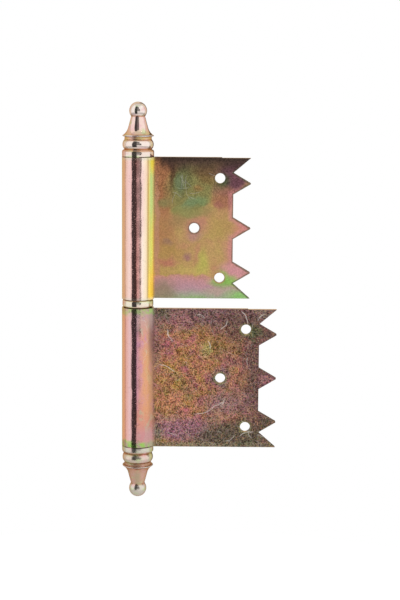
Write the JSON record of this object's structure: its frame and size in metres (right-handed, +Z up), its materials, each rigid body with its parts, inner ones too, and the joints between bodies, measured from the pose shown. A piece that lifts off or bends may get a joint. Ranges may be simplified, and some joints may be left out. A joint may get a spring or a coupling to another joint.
{
  "type": "lift-off flag hinge",
  "caption": "Lift-off flag hinge with rolled barrels, toothed sheet leaves for a slot in the wood, a bearing ring and turned ball finials.",
  "frame": {"origin": "on the pin axis, at the middle of the bearing ring's height", "axes": "+Z up the pin towards the upper barrel, +X along both folded leaves towards their teeth, +Y from the lower leaf's side to the upper leaf's side"},
  "size_m": [0.0777, 0.016, 0.2004],
  "materials": {
    "leaf_zinc": "satin yellow zinc with a rainbow sheen",
    "leaf_zinc_worn": "tumbled yellow zinc, grainy and scratched",
    "pin_steel": "turned steel",
    "bright_zinc": "bright turned steel with a thin yellow zinc"
  },
  "bodies": {
    "frame_leaf": {"lower_leaf": "leaf_zinc_worn", "hinge_pin": "pin_steel", "lower_finial": "bright_zinc"},
    "ring": {"bearing_ring": "bright_zinc"},
    "door_leaf": {"upper_leaf": "leaf_zinc", "upper_finial": "bright_zinc"}
  },
  "joints": [
    {"name": "leaf_swing", "type": "hinge", "parent": "frame_leaf", "child": "ring", "pos_m": [0, 0, 0], "axis": [0, 0, 1], "continuous": true},
    {"name": "leaf_lift", "type": "slide", "parent": "ring", "child": "door_leaf", "axis": [0, 0, 1], "range_m": [0, 0.048]}
  ]
}
